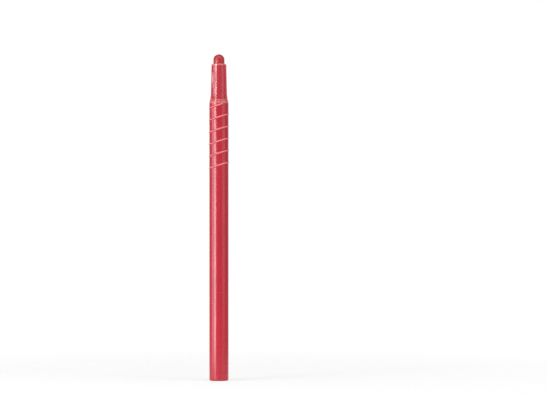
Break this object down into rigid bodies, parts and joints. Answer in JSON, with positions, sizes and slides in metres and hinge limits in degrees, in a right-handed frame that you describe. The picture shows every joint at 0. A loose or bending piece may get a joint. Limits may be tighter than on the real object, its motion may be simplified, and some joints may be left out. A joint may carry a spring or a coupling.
{
  "type": "twist crayon",
  "caption": "Slim round twist crayon: turning the clear tapered nose screws a stick of coloured wax out of a barrel with a raised spiral ridge.",
  "frame": {"origin": "centre of the flat rear face of the end plug", "axes": "+Z along the crayon's axis from the rear face towards the writing tip, -Y towards the viewer of the picture"},
  "size_m": [0.011, 0.011, 0.1763],
  "materials": {
    "barrel_plastic": "glossy red moulded plastic",
    "clear_plastic": "clear red moulded plastic",
    "inner_plastic": "red moulded plastic",
    "wax": "soft waxy red"
  },
  "bodies": {
    "barrel": {"barrel": "barrel_plastic", "end_plug": "barrel_plastic"},
    "twist_nose": {"nose_cone": "clear_plastic", "drive_sleeve": "inner_plastic"},
    "feed": {"carrier": "inner_plastic", "wax_core": "wax"}
  },
  "joints": [
    {"name": "nose_twist", "type": "hinge", "parent": "barrel", "child": "twist_nose", "pos_m": [0, 0, 0.1525], "axis": [0, 0, 1], "range_deg": [-332.4, 6582.5]},
    {"name": "wax_feed", "type": "slide", "parent": "twist_nose", "child": "feed", "axis": [0, 0, 1], "range_m": [-0.006, 0.11885]}
  ],
  "couplings": [
    {"joint": "nose_twist", "follows": "wax_feed", "rad_per_m": 966.64}
  ]
}
